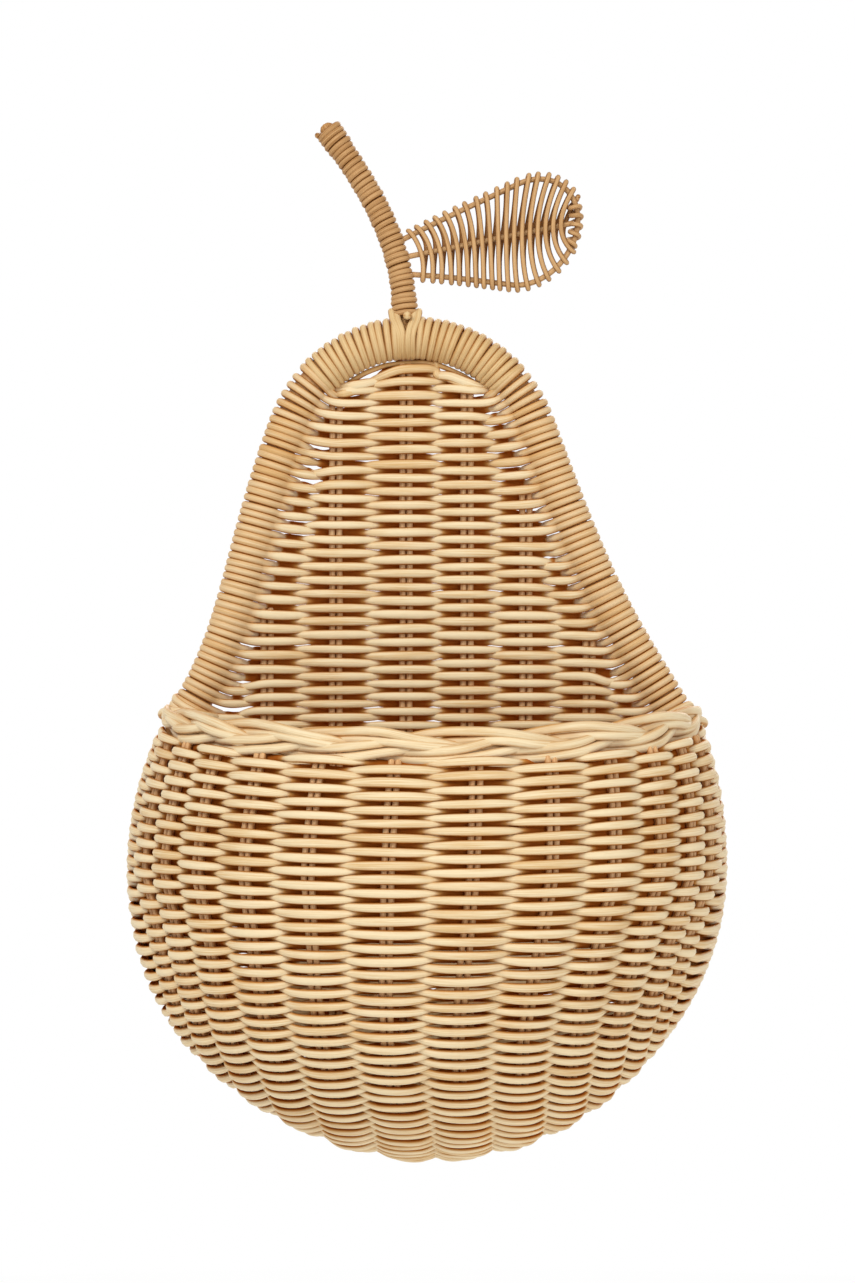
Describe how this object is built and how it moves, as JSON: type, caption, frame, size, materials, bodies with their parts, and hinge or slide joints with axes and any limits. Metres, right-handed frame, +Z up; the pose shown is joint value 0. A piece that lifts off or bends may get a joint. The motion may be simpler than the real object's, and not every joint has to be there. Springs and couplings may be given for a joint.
{
  "type": "wall basket",
  "caption": "Pear-shaped wall basket of woven cane with a half-bowl pocket, bound arch, bent stem and a small woven leaf.",
  "frame": {"origin": "on the wall plane, under the arch of the hoop, where a wall hook carries the basket", "axes": "+Z up, +X to the right seen from the room, +Y into the wall; the pocket faces -Y"},
  "size_m": [0.2373, 0.1152, 0.4115],
  "materials": {
    "frame_cane": "peeled bent cane rod, satin",
    "back_cane": "natural round cane, honey coloured, satin",
    "pocket_cane": "natural round cane, pale straw, satin",
    "stake_cane": "natural round cane, darker, matt",
    "leaf_cane": "thin tan cane, satin"
  },
  "bodies": {
    "root": {"arch_binding_left": "back_cane", "arch_binding_right": "back_cane", "back_stake_1_left": "stake_cane", "back_stake_1_right": "stake_cane", "back_stake_2_left": "stake_cane", "back_stake_2_right": "stake_cane", "back_stake_3_left": "stake_cane", "back_stake_3_right": "stake_cane", "back_stake_4_left": "stake_cane", "back_stake_4_right": "stake_cane", "back_stake_5_left": "stake_cane", "back_stake_5_right": "stake_cane", "back_stake_6_left": "stake_cane", "back_stake_6_right": "stake_cane", "back_stake_7_left": "stake_cane", "back_stake_7_right": "stake_cane", "back_stake_8_left": "stake_cane", "back_stake_8_right": "stake_cane", "back_weave": "back_cane", "leaf_hoop": "leaf_cane", "leaf_midrib": "leaf_cane", "leaf_weaver": "leaf_cane", "pear_frame": "frame_cane", "pocket_stake_10_left": "stake_cane", "pocket_stake_10_right": "stake_cane", "pocket_stake_11_left": "stake_cane", "pocket_stake_11_right": "stake_cane", "pocket_stake_12_left": "stake_cane", "pocket_stake_12_right": "stake_cane", "pocket_stake_1_left": "stake_cane", "pocket_stake_1_right": "stake_cane", "pocket_stake_2_left": "stake_cane", "pocket_stake_2_right": "stake_cane", "pocket_stake_3_left": "stake_cane", "pocket_stake_3_right": "stake_cane", "pocket_stake_4_left": "stake_cane", "pocket_stake_4_right": "stake_cane", "pocket_stake_5_left": "stake_cane", "pocket_stake_5_right": "stake_cane", "pocket_stake_6_left": "stake_cane", "pocket_stake_6_right": "stake_cane", "pocket_stake_7_left": "stake_cane", "pocket_stake_7_right": "stake_cane", "pocket_stake_8_left": "stake_cane", "pocket_stake_8_right": "stake_cane", "pocket_stake_9_left": "stake_cane", "pocket_stake_9_right": "stake_cane", "pocket_weave": "pocket_cane", "rim_knot_left": "back_cane", "rim_knot_right": "back_cane", "rim_strand_1": "pocket_cane", "rim_strand_2": "pocket_cane", "rim_strand_3": "pocket_cane", "stem_core": "frame_cane", "stem_lashing": "leaf_cane", "stem_winding": "leaf_cane"}
  },
  "joints": []
}
